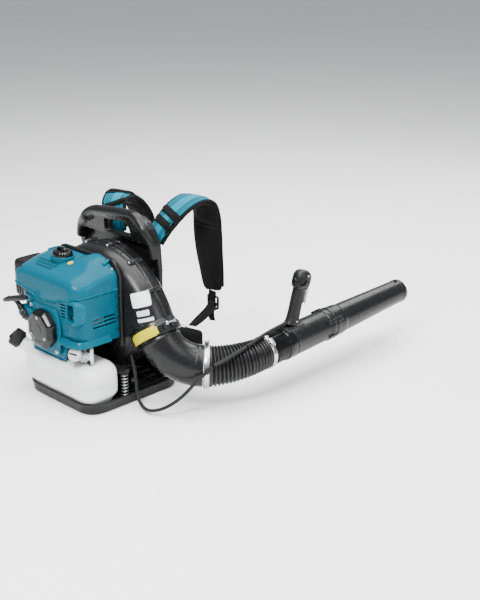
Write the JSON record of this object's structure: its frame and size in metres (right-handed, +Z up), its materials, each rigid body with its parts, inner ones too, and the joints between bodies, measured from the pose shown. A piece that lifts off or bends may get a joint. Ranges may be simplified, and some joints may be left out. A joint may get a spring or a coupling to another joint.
{
  "type": "backpack leaf blower",
  "caption": "Petrol backpack blower: engine and fan housing on a framed base with a shoulder harness, an elbow and pleated hose leading to a swivelling two-part tube with a throttle grip.",
  "frame": {"origin": "centre of the base plate's underside", "axes": "+X towards the wearer's right, where the tube is; +Y the way the wearer faces; +Z up"},
  "size_m": [0.6223, 1.0312, 0.5091],
  "materials": {
    "base_plate": "fine textured satin black",
    "back_frame": "satin dark grey",
    "back_pad": "woven black",
    "hip_pad": "woven black",
    "damper_spring_right": "bare steel",
    "damper_spring_left": "bare steel",
    "volute_front": "satin dark grey",
    "volute_rear": "satin dark grey",
    "impeller": "light grey satin",
    "crankshaft": "bare steel",
    "flywheel": "as cast",
    "starter_cup": "bare steel",
    "crankcase": "as cast",
    "cylinder": "as cast",
    "piston": "as cast",
    "rocker_cover": "fine textured satin black",
    "engine_mount": "as cast",
    "spark_plug": "light grey satin",
    "ignition_coil": "fine textured satin black",
    "carburetor": "as cast",
    "muffler": "bare steel",
    "air_cleaner_cover": "fine textured satin black",
    "air_filter": "oiled foam",
    "engine_cover_lower": "glossy teal",
    "engine_cover_upper": "glossy teal",
    "top_knob": "fine textured satin black",
    "starter_housing": "fine textured satin black",
    "recoil_reel": "fine textured satin black",
    "recoil_spring": "bare steel",
    "starter_rope": "light grey satin",
    "starter_grip": "fine textured satin black",
    "fuel_tank": "translucent milky white",
    "fuel_cap": "fine textured satin black",
    "fuel_line": "smooth black",
    "oil_filler": "as cast",
    "oil_cap": "light grey satin",
    "primer_bulb": "light grey satin",
    "choke_lever": "fine textured satin black",
    "outlet_collar": "satin dark grey",
    "collar_bolt": "fine textured satin black",
    "elbow": "satin dark grey",
    "flex_hose_rear": "smooth black",
    "flex_hose_front": "smooth black",
    "hose_clamp_rear": "bright zinc plated",
    "hose_clamp_front": "bright zinc plated",
    "swivel_cuff": "fine textured satin black",
    "control_tube": "satin dark grey",
    "end_tube": "satin dark grey",
    "grip_housing": "fine textured satin black",
    "throttle_trigger": "light grey satin",
    "cruise_lever": "light grey satin",
    "throttle_cable_loop": "smooth black",
    "throttle_cable_rear": "smooth black",
    "throttle_cable_front": "smooth black",
    "throttle_cable_end": "smooth black",
    "cable_clip": "fine textured satin black",
    "shoulder_strap_right": "woven black",
    "shoulder_strap_left": "woven black",
    "harness_webbing_right": "woven black",
    "harness_webbing_left": "woven black"
  },
  "bodies": {
    "blower": {"base_plate": "base_plate", "back_frame": "back_frame", "back_pad": "back_pad", "hip_pad": "hip_pad", "damper_spring_right": "damper_spring_right", "damper_spring_left": "damper_spring_left", "volute_front": "volute_front", "volute_rear": "volute_rear", "crankcase": "crankcase", "cylinder": "cylinder", "piston": "piston", "rocker_cover": "rocker_cover", "engine_mount": "engine_mount", "spark_plug": "spark_plug", "ignition_coil": "ignition_coil", "carburetor": "carburetor", "muffler": "muffler", "air_cleaner_cover": "air_cleaner_cover", "air_filter": "air_filter", "engine_cover_lower": "engine_cover_lower", "engine_cover_upper": "engine_cover_upper", "starter_housing": "starter_housing", "recoil_spring": "recoil_spring", "starter_rope": "starter_rope", "fuel_tank": "fuel_tank", "fuel_line": "fuel_line", "oil_filler": "oil_filler", "outlet_collar": "outlet_collar", "collar_bolt": "collar_bolt", "elbow": "elbow", "flex_hose_rear": "flex_hose_rear", "hose_clamp_rear": "hose_clamp_rear", "throttle_cable_loop": "throttle_cable_loop", "throttle_cable_rear": "throttle_cable_rear", "cable_clip": "cable_clip", "shoulder_strap_right": "shoulder_strap_right", "shoulder_strap_left": "shoulder_strap_left", "harness_webbing_right": "harness_webbing_right", "harness_webbing_left": "harness_webbing_left"},
    "hose_middle": {"flex_hose_front": "flex_hose_front", "throttle_cable_front": "throttle_cable_front"},
    "hose_end": {"hose_clamp_front": "hose_clamp_front", "swivel_cuff": "swivel_cuff", "throttle_cable_end": "throttle_cable_end"},
    "control": {"control_tube": "control_tube", "grip_housing": "grip_housing"},
    "end_tube": {"end_tube": "end_tube"},
    "trigger": {"throttle_trigger": "throttle_trigger"},
    "cruise_lever": {"cruise_lever": "cruise_lever"},
    "starter_pull": {"starter_grip": "starter_grip"},
    "reel": {"recoil_reel": "recoil_reel"},
    "crank": {"crankshaft": "crankshaft", "flywheel": "flywheel", "impeller": "impeller", "starter_cup": "starter_cup"},
    "fuel_cap": {"fuel_cap": "fuel_cap"},
    "oil_cap": {"oil_cap": "oil_cap"},
    "choke": {"choke_lever": "choke_lever"},
    "primer": {"primer_bulb": "primer_bulb"},
    "top_knob": {"top_knob": "top_knob"}
  },
  "joints": [
    {"name": "hose_yaw", "type": "hinge", "parent": "blower", "child": "hose_middle", "pos_m": [0.31, 0.138, 0.112], "axis": [0, 0, 1], "range_deg": [-30, 30], "deforming": ["flex_hose_rear", "throttle_cable_rear"]},
    {"name": "hose_pitch", "type": "hinge", "parent": "hose_middle", "child": "hose_end", "pos_m": [0.348, 0.2245, 0.121], "axis": [1, 0, 0], "range_deg": [-20, 25], "deforming": ["flex_hose_front", "throttle_cable_front"]},
    {"name": "tube_swivel", "type": "hinge", "parent": "hose_end", "child": "control", "pos_m": [0.353, 0.34689, 0.12916], "axis": [0, 0.9986, 0.052], "range_deg": [-30, 30], "deforming": ["throttle_cable_end"]},
    {"name": "end_tube_twist", "type": "hinge", "parent": "control", "child": "end_tube", "pos_m": [0.353, 0.51666, 0.138], "axis": [0, 0.9986, 0.052], "range_deg": [0, 30]},
    {"name": "throttle_trigger", "type": "hinge", "parent": "control", "child": "trigger", "pos_m": [0.353, 0.41934, 0.25975], "axis": [-1, 0, 0], "range_deg": [0, 12], "stiffness_Nm_per_rad": 0.05, "springref_deg": -20.05},
    {"name": "cruise_lever", "type": "hinge", "parent": "control", "child": "cruise_lever", "pos_m": [0.3762, 0.399, 0.28897], "axis": [1, 0, 0], "range_deg": [0, 50]},
    {"name": "starter_pull", "type": "slide", "parent": "blower", "child": "starter_pull", "axis": [-0.4996, -0.2498, 0.8294], "range_m": [0, 0.3], "stiffness_N_per_m": 15, "springref_m": -0.35, "deforming": ["starter_rope"]},
    {"name": "reel_spin", "type": "hinge", "parent": "blower", "child": "reel", "pos_m": [-0.026, -0.172, 0.206], "axis": [0, 1, 0], "range_deg": [-10, 500]},
    {"name": "crank_spin", "type": "hinge", "parent": "blower", "child": "crank", "pos_m": [-0.026, 0, 0.206], "axis": [0, 1, 0], "continuous": true},
    {"name": "fuel_cap_turn", "type": "hinge", "parent": "blower", "child": "fuel_cap", "pos_m": [-0.16128, -0.14952, 0.12754], "axis": [-0.6843, -0.4795, 0.5494], "range_deg": [0, 180]},
    {"name": "oil_cap_turn", "type": "hinge", "parent": "blower", "child": "oil_cap", "pos_m": [0.08548, -0.15212, 0.15979], "axis": [0.2001, -0.8803, 0.4302], "range_deg": [0, 180]},
    {"name": "choke_turn", "type": "hinge", "parent": "blower", "child": "choke", "pos_m": [-0.1378, -0.112, 0.232], "axis": [1, 0, 0], "range_deg": [0, 60]},
    {"name": "primer_press", "type": "slide", "parent": "blower", "child": "primer", "axis": [1, 0, 0], "range_m": [0, 0.004], "stiffness_N_per_m": 400, "springref_m": -0.004},
    {"name": "top_knob_turn", "type": "hinge", "parent": "blower", "child": "top_knob", "pos_m": [-0.05, -0.08, 0.3774], "axis": [0, 0, 1], "range_deg": [0, 90]}
  ],
  "couplings": [
    {"joint": "reel_spin", "follows": "starter_pull", "rad_per_m": 27.8}
  ]
}
